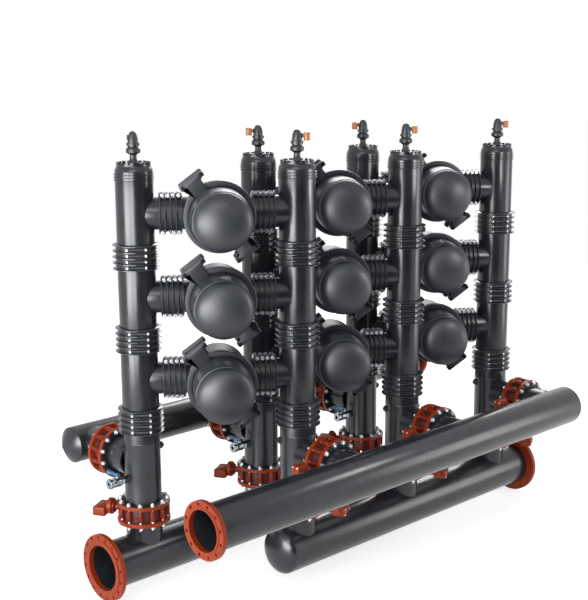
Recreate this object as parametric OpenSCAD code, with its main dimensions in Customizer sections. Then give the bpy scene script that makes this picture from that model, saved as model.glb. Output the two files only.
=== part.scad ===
// Irrigation disc filter battery: nine disc filter pods hang between three inlet columns and three
// outlet columns. Each column stands on a large manifold and drains sideways into a smaller one,
// through butterfly valves. The pipework is the same turned half round about the middle.

/* [Layout] */
// Distance between neighbouring columns of one row
column_pitch = 1190; // [1120:10:1300]
// Offset of the outlet row from the inlet row, along the manifolds
stagger_x = 950; // [900:10:1000]
// Offset of the outlet row from the inlet row, across the manifolds
stagger_y = 686; // [650:2:740]
// Height from one filter level to the next
level_pitch = 608; // [590:2:680]
// Height of the lowest column joint above the main manifolds
first_joint_rise = 1066; // [1040:2:1140]
// Height of the top level's column cap seam above its lower joint
cap_seam_rise = 545; // [520:5:620]
// Height of the side manifolds above the main manifolds
side_rise = 737; // [715:1:770]
// Distance of a side manifold from its row of columns
side_offset = 682; // [660:2:760]
// Height of the bottom valves above the main manifolds
bottom_valve_rise = 355; // [345:1:375]
// Distance of the side valves from the column axis
side_valve_reach = 345; // [335:1:365]

/* [Pipes] */
// Outside diameter of the main manifolds
main_d = 355; // [340:1:380]
// Wall of the main manifolds
main_wall = 7; // [5:1:14]
// Outside diameter of the backflush manifold
backflush_d = 315; // [300:1:320]
// Outside diameter of the drain manifold
drain_d = 280; // [276:1:300]
// Wall of the side manifolds
side_wall = 18; // [12:1:22]
// Outside diameter of the columns and of the necks at the valves
column_d = 273; // [268:1:278]
// Wall of the columns and necks
column_wall = 16; // [12:1:18]
// Outside diameter of the stubs that carry the pods
stub_d = 236; // [220:1:246]
// Wall of the stubs
stub_wall = 14; // [10:1:18]
// Flange face of a main manifold from its nearest column
main_mouth_reach = 392; // [360:1:460]
// Flange face of a side manifold from its nearest column
side_mouth_reach = 1493; // [1400:1:1560]
// Closed end of every manifold from its nearest column
cap_reach = 175; // [165:1:230]
// Height of the domed ends of the main manifolds
dome_h = 80; // [60:1:100]
// Height of the conical ends of the side manifolds
cone_h = 85; // [60:1:110]

/* [End flanges] */
// Diameter of the main end flanges
main_flange_d = 505; // [495:1:520]
// Bolt circle of the main end flanges
main_pcd = 460; // [450:1:465]
// Number of bolt holes in a main end flange
main_holes = 16; // [12:4:20]
// Thickness of the main end flanges
main_flange_t = 34; // [26:1:44]
// Diameter of the side end flanges
side_flange_d = 395; // [390:1:410]
// Thickness of the side end flanges
side_flange_t = 32; // [24:1:40]
// Bolt circle of the side end flanges and of the valves
valve_pcd = 350; // [348:1:354]
// Number of bolts round a side end flange or a valve
valve_bolts = 12; // [8:4:12]
// Bolt hole diameter in every flange
bolt_hole_d = 22; // [21:0.5:24]
// Height of the raised face on the end flanges
face_h = 5; // [3:1:8]

/* [Valves] */
// Face to face length of a valve body
valve_face = 76; // [68:1:90]
// Outside diameter of a valve body and of the pipe collars against it
valve_body_d = 322; // [316:1:324]
// Thickness of the pipe collars
collar_t = 14; // [10:1:20]
// Diameter of the backing rings
ring_d = 395; // [388:1:405]
// Thickness of the backing rings
ring_t = 28; // [22:1:34]
// Bore of the rubber seat
seat_bore = 244; // [236:1:248]
// Wall of the rubber seat
seat_wall = 9; // [6:1:12]
// Diameter of the lugs round the studs on a valve body
lug_boss_d = 40; // [34:1:44]
// Thickness of a valve disc
disc_t = 20; // [14:1:28]
// Diameter of a valve stem
stem_d = 30; // [24:1:34]
// Distance of the gearbox foot from the valve axis
gearbox_reach = 246; // [240:1:270]
// Diameter of the gearbox's quadrant housing
quadrant_d = 124; // [112:1:136]
// Length of the quadrant housing along the stem
quadrant_l = 42; // [36:1:60]
// Length of the worm housing along the stem
worm_l = 98; // [80:1:110]
// Length of the worm housing along the worm
worm_w = 165; // [140:1:180]
// Thickness of the worm housing
worm_h = 70; // [64:1:80]
// Offset of the worm housing from the stem
worm_offset = 26; // [20:1:30]
// Direction of the bottom valves' stems, seen from above on the inlet row
bottom_stem_turn = 120; // [105:1:135]
// Stud diameter
stud_d = 20; // [18:0.5:20]
// Nut width across flats
nut_af = 30; // [28:1:32]
// Nut thickness
nut_t = 16; // [12:1:20]

/* [Couplings] */
// Gap between pipe ends, filled by the gasket
joint_gap = 6; // [4:1:10]
// Thickness of a coupling sleeve
sleeve_t = 9; // [7:1:12]
// Height of the ribs above the sleeve
rib_h = 24; // [18:1:28]
// Thickness of a rib
rib_t = 9; // [6:1:12]
// Distance from rib to rib on the columns
column_rib_pitch = 43; // [40:1:46]
// Distance from rib to rib on the stubs
stub_rib_pitch = 39; // [36:1:41]
// Distance of the stub joints from the column axis
stub_joint_reach = 252; // [248:1:258]
// Gap between the two halves of a coupling
split_gap = 6; // [3:1:10]
// Half width of the bolt pads across the split
pad_reach = 60; // [52:1:66]
// Diameter of the coupling bolts
coupling_bolt_d = 12; // [10:1:14]
// Diameter of the coupling bolts' round heads and nuts
coupling_head_d = 20; // [18:1:24]
// Height of the coupling bolt heads
coupling_bolt_head = 10; // [7:1:12]

/* [Column tops and bases] */
// Height of a column cap from its seam to its toothed rim
cap_h = 132; // [120:1:150]
// Diameter of the toothed rim
cap_rim_d = 244; // [230:1:256]
// Number of teeth round the rim
cap_teeth = 18; // [12:1:24]
// Diameter of the three rings at the cap's foot
cap_ring_d = 289; // [284:1:296]
// Height of an air valve above its seat
air_valve_h = 222; // [200:1:250]
// Height of the plugs above the main manifolds
plug_rise = 850; // [845:1:860]
// Diameter of a plug's head
plug_head_d = 46; // [40:1:52]
// Height of the cocks above the main manifolds
cock_rise = 628; // [600:1:650]
// Diameter of the cock's passage
cock_bore = 26; // [20:1:28]
// Length of the cock's lever
lever_l = 118; // [100:1:140]

/* [Pods] */
// Diameter of the pod flanges
pod_flange_d = 512; // [500:1:530]
// Plane of the pod's seal in front of the columns
pod_seam = 262; // [250:1:280]
// Diameter of the pod body
pod_body_d = 430; // [420:1:440]
// Diameter of the cover's skirt and dome
dome_d = 422; // [416:1:430]
// Length of the cover's skirt from the seam
skirt_l = 308; // [295:1:330]
// Height of the cover's dome
cover_dome_h = 95; // [85:1:110]
// Bore of the pod body and cover
pod_bore = 392; // [386:1:396]
// Length of the pod body behind the columns, without its round end
pod_back = 150; // [140:1:180]
// Direction of the upper lugs, seen from the front
lug_turn = 127; // [120:1:134]
// Outer reach of the lugs from the pod axis
lug_reach = 340; // [330:1:350]
// Width of the lugs' cross bars
lug_bar_w = 198; // [180:1:210]
// Width of the lugs' necks
lug_neck_w = 113; // [100:1:120]
// Thickness of a lug along the pod axis
lug_t = 48; // [40:1:54]
// Distance from the front lugs to the rear lugs
lug_span = 175; // [160:1:190]
// Outside diameter of the disc stack
stack_d = 326; // [300:1:340]
// Length of the disc stack
stack_l = 270; // [255:1:280]
// Diameter of the spine
spine_d = 158; // [150:1:162]
// Travel of the compression plate
plate_travel = 12; // [8:1:16]

/* [Hidden] */
$fn = 64;

// Finishes
charcoal = "#3d4047";
flange_red = "#b8472c";
zinc = "#c8cbd0";
lever_blue = "#4a93cf";
outlet_orange = "#e59a55";
rubber_black = "#1d1e20";
disc_green = "#4f7f5a";

// Clearances
shaft_fit = 0.05;
slip_fit = 0.3;
sweep_gap = 0.4;
bolt_play = 1;
overlap = 1;

// Layout worked out from the driving sizes
modules = 3;
levels = 3;
left_y = stagger_y / 2;
main_z = main_flange_d / 2;
side_z = main_z + side_rise;
bottom_valve_z = main_z + bottom_valve_rise;
swing = atan2(stagger_y, stagger_x);
half_span = sqrt(pow(stagger_x, 2) + pow(stagger_y, 2)) / 2;
cap_seam_z = joint_z(levels - 1) + cap_seam_rise;
cap_rim_z = cap_seam_z + cap_h;
column_bore = column_d - 2 * column_wall;
stub_bore = stub_d - 2 * stub_wall;
collar_face = valve_face / 2;
ring_face = collar_face + collar_t;
ring_bore = column_d + 3;
neck_d = 50;

function left_x(i) = (i - 1) * column_pitch - stagger_x / 2;
function joint_z(k) = main_z + first_joint_rise + k * level_pitch;
function stub_z(k) = joint_z(k) + level_pitch / 2;
function column_top(k) = k == levels - 1 ? cap_seam_z : joint_z(k + 1) - joint_gap / 2;

// Profile of a round rod that ends in a dome: the rod from -length to 0, then a quarter ellipse
function domed(r, length, h, steps = 12) = concat(
    [[0, -length], [r, -length]],
    [for (s = [0 : steps - 1]) [r * cos(90 * s / steps), h * sin(90 * s / steps)]],
    [[0, h]]);

// Places
module at_left_columns() {
    for (i = [0 : modules - 1]) translate([left_x(i), left_y, 0]) children();
}

module at_columns() {
    for (turn = [0, 180]) rotate(turn) at_left_columns() children();
}

module at_column(turn, i) {
    rotate(turn) translate([left_x(i), left_y, 0]) children();
}

// A valve's own frame has its flow along Z and its stem along X, towards the gearbox
module in_bottom_valve() {
    translate([0, 0, bottom_valve_z]) rotate(bottom_stem_turn) children();
}

module in_side_valve() {
    translate([0, side_valve_reach, side_z]) rotate([90, 0, 0]) children();
}

module at_valves() {
    at_columns() {
        in_bottom_valve() children();
        in_side_valve() children();
    }
}

// A pod's own frame has its axis along Z towards the cover, X towards the outlet column, Y up
module at_pod(i, k) {
    translate([(i - 1) * column_pitch, 0, stub_z(k)])
        rotate([0, 0, -swing]) rotate([90, 0, 0]) children();
}

module at_pods() {
    for (i = [0 : modules - 1]) for (k = [0 : levels - 1]) at_pod(i, k) children();
}

module along_x(x) {
    translate([x, 0, 0]) rotate([0, 90, 0]) children();
}

// Lying on the stub between an inlet column and its pods, with Z along the stub
module on_stub(k) {
    translate([0, 0, stub_z(k)]) rotate([0, 0, -swing]) rotate([0, 90, 0]) children();
}

module tube(d, bore, h) {
    difference() {
        cylinder(d = d, h = h);
        translate([0, 0, -overlap]) cylinder(d = bore, h = h + 2 * overlap);
    }
}

module hex(af, h) {
    cylinder(d = af / cos(30), h = h, $fn = 6);
}

module hole_circle(pcd, count, d, h) {
    for (s = [0 : count - 1]) rotate((s + 0.5) * 360 / count)
        translate([pcd / 2, 0, -overlap]) cylinder(d = d, h = h + 2 * overlap);
}

// Manifolds
module main_manifold() {
    mouth = left_x(0) - main_mouth_reach + main_flange_t + face_h;
    closed = left_x(modules - 1) + cap_reach;
    neck_top = bottom_valve_rise - collar_face;
    translate([0, left_y, main_z]) difference() {
        union() {
            along_x(closed) rotate_extrude() polygon(domed(main_d / 2, closed - mouth, dome_h));
            for (i = [0 : modules - 1]) translate([left_x(i), 0, 0]) {
                cylinder(d = column_d, h = neck_top);
                translate([0, 0, neck_top - collar_t]) cylinder(d = valve_body_d, h = collar_t);
            }
        }
        along_x(closed) rotate_extrude()
            polygon(domed(main_d / 2 - main_wall, closed - mouth + overlap, dome_h - main_wall));
        for (i = [0 : modules - 1]) translate([left_x(i), 0, 0])
            cylinder(d = column_bore, h = neck_top + overlap);
    }
}

module side_manifold(d) {
    mouth = left_x(modules - 1) + side_mouth_reach - side_flange_t - face_h;
    closed = left_x(0) - cap_reach;
    neck_tip = side_offset - side_valve_reach - collar_face;
    bore = d - 2 * side_wall;
    translate([0, left_y + side_offset, side_z]) difference() {
        union() {
            along_x(closed) cylinder(d = d, h = mouth - closed);
            along_x(closed - cone_h) cylinder(d1 = 0, d2 = d, h = cone_h);
            for (i = [0 : modules - 1]) translate([left_x(i), 0, 0]) rotate([90, 0, 0]) {
                cylinder(d = column_d, h = neck_tip);
                translate([0, 0, neck_tip - collar_t]) cylinder(d = valve_body_d, h = collar_t);
            }
        }
        along_x(closed) cylinder(d = bore, h = mouth - closed + overlap);
        for (i = [0 : modules - 1]) translate([left_x(i), 0, 0]) rotate([90, 0, 0])
            cylinder(d = column_bore, h = neck_tip + overlap);
    }
}

module inlet_manifold() {
    color(charcoal) main_manifold();
}

module outlet_manifold() {
    color(charcoal) rotate(180) main_manifold();
}

module drain_manifold() {
    color(charcoal) side_manifold(drain_d);
}

module backflush_manifold() {
    color(charcoal) rotate(180) side_manifold(backflush_d);
}

// End flanges: a drilled ring with a raised face inside the bolt circle, butted to the pipe end
module end_flange(d, t, pcd, count, bore) {
    difference() {
        union() {
            cylinder(d = d, h = t);
            translate([0, 0, t]) cylinder(d = pcd - 2 * bolt_hole_d, h = face_h);
        }
        translate([0, 0, -overlap]) cylinder(d = bore, h = t + face_h + 2 * overlap);
        hole_circle(pcd, count, bolt_hole_d, t + face_h);
    }
}

module main_end_flanges() {
    color(flange_red) for (turn = [0, 180]) rotate(turn)
        translate([left_x(0) - main_mouth_reach + main_flange_t + face_h, left_y, main_z])
            rotate([0, -90, 0])
                end_flange(main_flange_d, main_flange_t, main_pcd, main_holes, main_d - 2 * main_wall);
}

module side_end_flange(d) {
    back_x = left_x(modules - 1) + side_mouth_reach - side_flange_t - face_h;
    translate([back_x, left_y + side_offset, side_z]) rotate([0, 90, 0])
        end_flange(side_flange_d, side_flange_t, valve_pcd, valve_bolts, d - 2 * side_wall);
}

module side_end_flanges() {
    color(flange_red) {
        side_end_flange(drain_d);
        rotate(180) side_end_flange(backflush_d);
    }
}

// Column base: a tee with a collar on each valve, two plug bosses and a boss for the cock
boss_reach = column_d / 2 + 10;
plug_boss_d = plug_head_d + 10;
plug_bore = plug_head_d - 12;
plug_turns = [160, -30];
cock_boss_d = 64;
cock_thread_d = 40;

module plug_places() {
    for (turn = plug_turns) translate([0, 0, main_z + plug_rise]) rotate([0, 90, turn]) children();
}

module cock_place() {
    translate([0, 0, main_z + cock_rise]) rotate([0, -90, 0]) children();
}

module base_tee(with_cock) {
    foot = bottom_valve_z + collar_face;
    top = joint_z(0) - joint_gap / 2;
    tip = side_valve_reach - collar_face;
    difference() {
        union() {
            translate([0, 0, foot]) cylinder(d = column_d, h = top - foot);
            translate([0, 0, foot]) cylinder(d = valve_body_d, h = collar_t);
            translate([0, 0, side_z]) rotate([-90, 0, 0]) {
                cylinder(d = column_d, h = tip);
                translate([0, 0, tip - collar_t]) cylinder(d = valve_body_d, h = collar_t);
            }
            plug_places() cylinder(d = plug_boss_d, h = boss_reach);
            if (with_cock) cock_place() cylinder(d = cock_boss_d, h = boss_reach);
        }
        translate([0, 0, foot - overlap]) cylinder(d = column_bore, h = top - foot + 2 * overlap);
        translate([0, 0, side_z]) rotate([-90, 0, 0]) cylinder(d = column_bore, h = tip + overlap);
        plug_places() cylinder(d = plug_bore, h = boss_reach + overlap);
        if (with_cock) cock_place() cylinder(d = cock_thread_d, h = boss_reach + overlap);
    }
}

module base_tees() {
    color(charcoal) {
        at_left_columns() base_tee(true);
        rotate(180) at_left_columns() base_tee(false);
    }
}

// Column tee: one level of a column with its stub towards the pod
module column_tee(k) {
    foot = joint_z(k) + joint_gap / 2;
    top = column_top(k);
    tip = stub_joint_reach - joint_gap / 2;
    difference() {
        union() {
            translate([0, 0, foot]) cylinder(d = column_d, h = top - foot);
            on_stub(k) cylinder(d = stub_d, h = tip);
        }
        translate([0, 0, foot - overlap]) cylinder(d = column_bore, h = top - foot + 2 * overlap);
        on_stub(k) cylinder(d = stub_bore, h = tip + overlap);
    }
}

module column_tees() {
    color(charcoal) at_columns() for (k = [0 : levels - 1]) column_tee(k);
}

// Column cap: shoulder, toothed rim, three rings at the foot and a spigot inside the column
cap_shoulder_h = 30;
cap_rim_h = 30;
cap_tooth_h = 14;
cap_tooth_w = 17;
cap_tooth_d = 12;
cap_ring_t = 8;
cap_ring_pitch = 20;
cap_wall = 16;
cap_spigot_h = 40;
air_seat_h = 8;
air_thread_d = 34;

module column_cap() {
    wall_h = cap_h - cap_shoulder_h - cap_rim_h;
    plate_z = wall_h + cap_shoulder_h;
    difference() {
        union() {
            cylinder(d = column_d, h = wall_h);
            translate([0, 0, wall_h]) cylinder(d1 = column_d, d2 = cap_rim_d, h = cap_shoulder_h);
            translate([0, 0, plate_z]) tube(cap_rim_d, cap_rim_d - 2 * cap_tooth_d, cap_rim_h);
            translate([0, 0, plate_z]) cylinder(d = column_bore / 2, h = cap_rim_h - air_seat_h);
            for (s = [0 : 2]) translate([0, 0, s * cap_ring_pitch])
                cylinder(d = cap_ring_d, h = cap_ring_t);
            translate([0, 0, -cap_spigot_h]) cylinder(d = column_bore - 2 * slip_fit, h = cap_spigot_h);
        }
        translate([0, 0, -cap_spigot_h - overlap])
            cylinder(d = column_bore - 2 * cap_wall, h = cap_spigot_h + wall_h + overlap);
        cylinder(d = air_thread_d, h = cap_h);
        for (s = [0 : cap_teeth - 1]) rotate(s * 360 / cap_teeth)
            translate([cap_rim_d / 2 - cap_tooth_d - overlap, -cap_tooth_w / 2, cap_h - cap_tooth_h])
                cube([cap_tooth_d + 2 * overlap, cap_tooth_w, cap_tooth_h + overlap]);
    }
}

module column_caps() {
    color(charcoal) at_columns() translate([0, 0, cap_seam_z]) column_cap();
}

// Ribbed coupling: two half shells split along X, with bolt pads on both sides of each split
rib_count = 5;

function rib_profile(bore_r, pitch) = let (
        sleeve_r = bore_r + sleeve_t,
        rib_r = sleeve_r + rib_h,
        length = (rib_count - 1) * pitch + rib_t
    ) concat(
        [[bore_r, -length / 2]],
        [for (s = [0 : rib_count - 1]) let (z = (s - (rib_count - 1) / 2) * pitch)
            each [[s == 0 ? rib_r : sleeve_r, z - rib_t / 2], [rib_r, z - rib_t / 2],
                  [rib_r, z + rib_t / 2], [s == rib_count - 1 ? rib_r : sleeve_r, z + rib_t / 2]]],
        [[bore_r, length / 2]]
    );

function pad_y(d) = d / 2 + sleeve_t + coupling_bolt_d / 2;

function pad_foot(d) = sqrt(d * d / 4 - pad_reach * pad_reach) + sleeve_t / 2;

module bolt_rows(d, pitch) {
    for (side = [-1, 1]) for (s = [0 : rib_count - 2])
        translate([0, side * pad_y(d), (s - (rib_count - 2) / 2) * pitch]) rotate([0, 90, 0]) children();
}

module coupling_half(d, pitch, side) {
    bore_r = d / 2;
    length = (rib_count - 1) * pitch + rib_t;
    pad_depth = pad_y(d) + coupling_bolt_d / 2 + rib_t - pad_foot(d);
    difference() {
        union() {
            rotate(90) rotate_extrude() polygon(rib_profile(bore_r, pitch));
            for (turn = [0, 180]) rotate(turn) translate([-pad_reach, pad_foot(d), -length / 2])
                cube([2 * pad_reach, pad_depth, length]);
        }
        rotate(90) cylinder(r = bore_r, h = length + 2 * overlap, center = true);
        bolt_rows(d, pitch)
            cylinder(d = coupling_bolt_d + bolt_play, h = 2 * pad_reach + 2 * overlap, center = true);
        translate([side * (d - split_gap / 2), 0, 0]) cube([2 * d, 2 * d, 2 * d], center = true);
    }
}

module coupling_halves(d, pitch) {
    for (side = [-1, 1]) coupling_half(d, pitch, side);
}

module coupling_bolts(d, pitch) {
    bolt_rows(d, pitch) {
        cylinder(d = coupling_bolt_d, h = 2 * pad_reach, center = true);
        for (end = [0, 180]) rotate([end, 0, 0])
            translate([0, 0, pad_reach]) cylinder(d = coupling_head_d, h = coupling_bolt_head);
    }
}

module at_column_joints() {
    at_columns() for (k = [0 : levels - 1]) translate([0, 0, joint_z(k)]) rotate(-swing) children();
}

module at_stub_joints() {
    at_columns() for (k = [0 : levels - 1]) on_stub(k)
        translate([0, 0, stub_joint_reach]) rotate(90) children();
}

module column_coupling_halves() {
    color(charcoal) at_column_joints() coupling_halves(column_d, column_rib_pitch);
}

module column_coupling_bolts() {
    color(zinc) at_column_joints() coupling_bolts(column_d, column_rib_pitch);
}

module column_gaskets() {
    color(rubber_black) at_column_joints()
        translate([0, 0, -joint_gap / 2]) tube(column_d, column_bore, joint_gap);
}

module stub_coupling_halves() {
    color(charcoal) at_stub_joints() coupling_halves(stub_d, stub_rib_pitch);
}

module stub_coupling_bolts() {
    color(zinc) at_stub_joints() coupling_bolts(stub_d, stub_rib_pitch);
}

module stub_gaskets() {
    color(rubber_black) at_stub_joints()
        translate([0, 0, -joint_gap / 2]) tube(stub_d, stub_bore, joint_gap);
}

// Butterfly valve: wafer body with a neck for the stem and a blind journal opposite
body_bore = seat_bore + 2 * seat_wall;
journal_boss_d = 50;
journal_boss_reach = valve_body_d / 2 + 6;
journal_end = journal_boss_reach - 12;
top_plate_t = 14;
top_plate_d = 96;
stem_end = gearbox_reach + quadrant_l - 8;

module stud_circle() {
    for (s = [0 : valve_bolts - 1]) rotate((s + 0.5) * 360 / valve_bolts)
        translate([valve_pcd / 2, 0, 0]) children();
}

module valve_body() {
    difference() {
        union() {
            translate([0, 0, -valve_face / 2]) cylinder(d = valve_body_d, h = valve_face);
            translate([0, 0, -valve_face / 2]) stud_circle() cylinder(d = lug_boss_d, h = valve_face);
            along_x(0) cylinder(d = neck_d, h = gearbox_reach);
            along_x(gearbox_reach - top_plate_t) cylinder(d = top_plate_d, h = top_plate_t);
            rotate(180) along_x(0) cylinder(d = journal_boss_d, h = journal_boss_reach);
        }
        translate([0, 0, -valve_face / 2 - overlap]) {
            cylinder(d = body_bore, h = valve_face + 2 * overlap);
            stud_circle() cylinder(d = bolt_hole_d, h = valve_face + 2 * overlap);
        }
        along_x(0) cylinder(d = stem_d + 2 * shaft_fit, h = gearbox_reach + overlap);
        rotate(180) along_x(0) cylinder(d = stem_d + 2 * shaft_fit, h = journal_end + slip_fit);
    }
}

module valve_seat() {
    difference() {
        translate([0, 0, -valve_face / 2]) tube(body_bore, seat_bore, valve_face);
        along_x(-body_bore) cylinder(d = stem_d + 2 * slip_fit, h = 2 * body_bore);
    }
}

module valve_disc() {
    sweep_r = seat_bore / 2 - sweep_gap;
    hub_d = stem_d + 16;
    color(zinc) union() {
        intersection() {
            sphere(r = sweep_r);
            union() {
                translate([0, 0, -disc_t / 2]) cylinder(r = sweep_r, h = disc_t);
                along_x(-sweep_r) cylinder(d = hub_d, h = 2 * sweep_r);
            }
        }
        along_x(-journal_end) cylinder(d = stem_d, h = journal_end + stem_end);
    }
}

module backing_ring() {
    translate([0, 0, ring_face]) difference() {
        tube(ring_d, ring_bore, ring_t);
        hole_circle(valve_pcd, valve_bolts, bolt_hole_d, ring_t);
    }
}

module flange_stud() {
    reach = ring_face + ring_t;
    cylinder(d = stud_d, h = 2 * (reach + nut_t + nut_t / 2), center = true);
    for (end = [0, 180]) rotate([end, 0, 0]) translate([0, 0, reach]) hex(nut_af, nut_t);
}

module valve_bodies() {
    color(flange_red) at_valves() valve_body();
}

module valve_seats() {
    color(rubber_black) at_valves() valve_seat();
}

module backing_rings() {
    color(flange_red) at_valves() for (end = [0, 180]) rotate([end, 0, 0]) backing_ring();
}

module flange_studs() {
    color(zinc) at_valves() stud_circle() flange_stud();
}

// Gearbox: round quadrant housing on the valve's top plate, worm housing across its end
lid_d = 52;
lid_t = 8;
input_boss_d = 44;
input_boss_l = 18;

module gearbox() {
    difference() {
        union() {
            along_x(gearbox_reach) cylinder(d = quadrant_d, h = quadrant_l);
            translate([gearbox_reach + quadrant_l, -worm_w / 2, -worm_offset - worm_h / 2])
                cube([worm_l, worm_w, worm_h]);
            translate([gearbox_reach + quadrant_l + worm_l / 2, -worm_w / 2, -worm_offset])
                rotate([90, 0, 0]) cylinder(d = input_boss_d, h = input_boss_l);
        }
        along_x(gearbox_reach - overlap)
            cylinder(d = stem_d + 2 * shaft_fit, h = stem_end - gearbox_reach + overlap + slip_fit);
    }
}

module valve_gearboxes() {
    color(flange_red) at_valves() gearbox();
}

module gearbox_lids() {
    color(flange_red) at_valves() translate([0, 0, -worm_offset])
        along_x(gearbox_reach + quadrant_l + worm_l) cylinder(d = lid_d, h = lid_t);
}

module base_plugs() {
    color(rubber_black) at_columns() plug_places() {
        translate([0, 0, boss_reach - 20]) cylinder(d = plug_bore - 2 * slip_fit, h = 20);
        translate([0, 0, boss_reach]) cylinder(d = plug_head_d, h = 8);
        translate([0, 0, boss_reach + 8]) hex(plug_bore * 0.7, 8);
    }
}

// Ball cock on a nipple: body along Z away from the column, lever above it
nipple_af = 54;
nipple_l = 34;
cock_foot = boss_reach + nipple_l;
cock_body_d = 58;
cock_l = 128;
cock_end_d = 66;
cock_end_l = 26;
cock_centre = cock_foot + cock_l * 0.42;
ball_d = cock_bore * 1.5;
cock_stem_d = 14;
cock_stem_foot = ball_d / 2 - 3;
cock_neck_d = 30;
cock_neck_rise = 44;
lever_w = 26;
lever_t = 12;

module cock_nipples() {
    color(rubber_black) at_left_columns() cock_place() difference() {
        union() {
            translate([0, 0, boss_reach - 24]) cylinder(d = cock_thread_d - 2 * slip_fit, h = 24);
            translate([0, 0, boss_reach]) hex(nipple_af, nipple_l);
        }
        translate([0, 0, boss_reach - 24 - overlap])
            cylinder(d = cock_bore, h = nipple_l + 24 + 2 * overlap);
    }
}

module cock_bodies() {
    color(zinc) at_left_columns() cock_place() difference() {
        union() {
            translate([0, 0, cock_foot]) cylinder(d = cock_body_d, h = cock_l);
            translate([0, 0, cock_foot]) hex(cock_body_d, cock_end_l);
            translate([0, 0, cock_foot + cock_l - cock_end_l]) cylinder(d = cock_end_d, h = cock_end_l);
            translate([0, 0, cock_centre]) rotate([0, 90, 0]) cylinder(d = cock_neck_d, h = cock_neck_rise);
        }
        translate([0, 0, cock_foot - overlap]) cylinder(d = cock_bore, h = cock_l + 2 * overlap);
        translate([0, 0, cock_centre]) sphere(d = ball_d + 2 * sweep_gap);
        translate([0, 0, cock_centre]) rotate([0, 90, 0])
            cylinder(d = cock_stem_d + 2 * shaft_fit, h = cock_neck_rise + overlap);
    }
}

module cock_lever(i) {
    color(lever_blue) at_column(0, i) translate([-cock_centre, 0, main_z + cock_rise]) {
        difference() {
            sphere(d = ball_d);
            rotate([90, 0, 0]) cylinder(d = cock_bore * 0.8, h = 2 * ball_d, center = true);
        }
        translate([0, 0, cock_stem_foot])
            cylinder(d = cock_stem_d, h = cock_neck_rise + slip_fit + lever_t - cock_stem_foot);
        translate([0, 0, cock_neck_rise + slip_fit]) {
            cylinder(d = lever_w + 6, h = lever_t);
            translate([-lever_w / 2, 0, 0]) cube([lever_w, lever_l - lever_w / 2, lever_t]);
            translate([0, lever_l - lever_w / 2, 0]) cylinder(d = lever_w, h = lever_t);
        }
    }
}

// Air release valve: threaded neck and bulb nut below, collar and acorn dome above
air_neck_d = 48;
air_foot_d = 72;
air_bulb_d = 98;
air_collar_d = 92;
air_dome_d = 74;
air_neck_h = air_valve_h * 0.25;
air_bulb_h = air_valve_h * 0.25;
air_collar_h = air_valve_h * 0.14;
air_dome_h = air_valve_h - air_neck_h - air_bulb_h - air_collar_h;
air_outlet_rise = air_valve_h - air_dome_h * 0.55;
air_outlet_reach = 72;
air_boss_d = 34;
air_boss_reach = 42;
air_outlet_d = 26;
air_elbow_d = 46;
air_elbow_h = 60;

module at_air_valves() {
    at_columns() translate([0, 0, cap_rim_z - air_seat_h]) children();
}

module air_valve_bases() {
    color(charcoal) at_air_valves() union() {
        translate([0, 0, -20]) cylinder(d = air_thread_d - 2 * slip_fit, h = 20);
        cylinder(d1 = air_foot_d, d2 = air_neck_d, h = air_neck_h / 2);
        cylinder(d = air_neck_d, h = air_neck_h + overlap);
        translate([0, 0, air_neck_h]) rotate_extrude() polygon([
            [0, 0], [air_neck_d / 2, 0], [air_bulb_d / 2, air_bulb_h * 0.3],
            [air_bulb_d / 2, air_bulb_h * 0.75], [air_dome_d / 2, air_bulb_h], [0, air_bulb_h]]);
    }
}

module in_air_outlet() {
    translate([0, 0, air_outlet_rise]) rotate(180 - swing) children();
}

module air_valve_dome() {
    translate([0, 0, air_neck_h + air_bulb_h]) {
        cylinder(d = air_dome_d, h = air_collar_h);
        translate([0, 0, air_collar_h * 0.3]) cylinder(d = air_collar_d, h = air_collar_h * 0.7);
        translate([0, 0, air_collar_h])
            rotate_extrude() polygon(domed(air_dome_d / 2, overlap, air_dome_h));
    }
    in_air_outlet() along_x(0) cylinder(d = air_boss_d, h = air_boss_reach);
}

module air_valve_domes() {
    color(charcoal) at_air_valves() air_valve_dome();
}

module air_valve_outlet() {
    in_air_outlet() {
        along_x(air_boss_reach) cylinder(d = air_outlet_d, h = air_outlet_reach - air_boss_reach);
        translate([air_outlet_reach, 0, -air_elbow_h * 0.6]) cylinder(d = air_elbow_d, h = air_elbow_h);
    }
}

module air_valve_outlets() {
    seat = cap_rim_z - air_seat_h;
    color(outlet_orange) {
        for (i = [1 : modules - 1]) at_column(0, i) translate([0, 0, seat]) air_valve_outlet();
        for (i = [0 : modules - 1]) at_column(180, i) translate([0, 0, seat]) air_valve_outlet();
    }
}

// Pod body: round chamber with a socket to each column, an inner riser to the outlet and rear lugs
pod_back_h = 60;
pod_flange_t = 28;
pod_wall = (pod_body_d - pod_bore) / 2;
socket_reach = half_span - stub_joint_reach - joint_gap / 2;
riser_d = 184;
riser_bore = 160;
riser_top = 140;
riser_foot = -70;
cross_d = 150;
cross_bore = 130;
seal_groove_d = 452;
seal_w = 12;
seal_h = 6;
front_lug_z = pod_seam + 2;
rear_lug_z = front_lug_z - lug_span;
lug_bar_h = 40;
tie_bolt_d = 16;
tie_bolt_y = lug_bar_w / 2 - 20;
tie_bolt_x = lug_reach - lug_bar_h / 2;

module lug_places() {
    for (turn = [lug_turn, lug_turn + 180]) rotate(turn) children();
}

module tie_bolt_places() {
    lug_places() for (side = [-1, 1]) translate([tie_bolt_x, side * tie_bolt_y, 0]) children();
}

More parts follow.
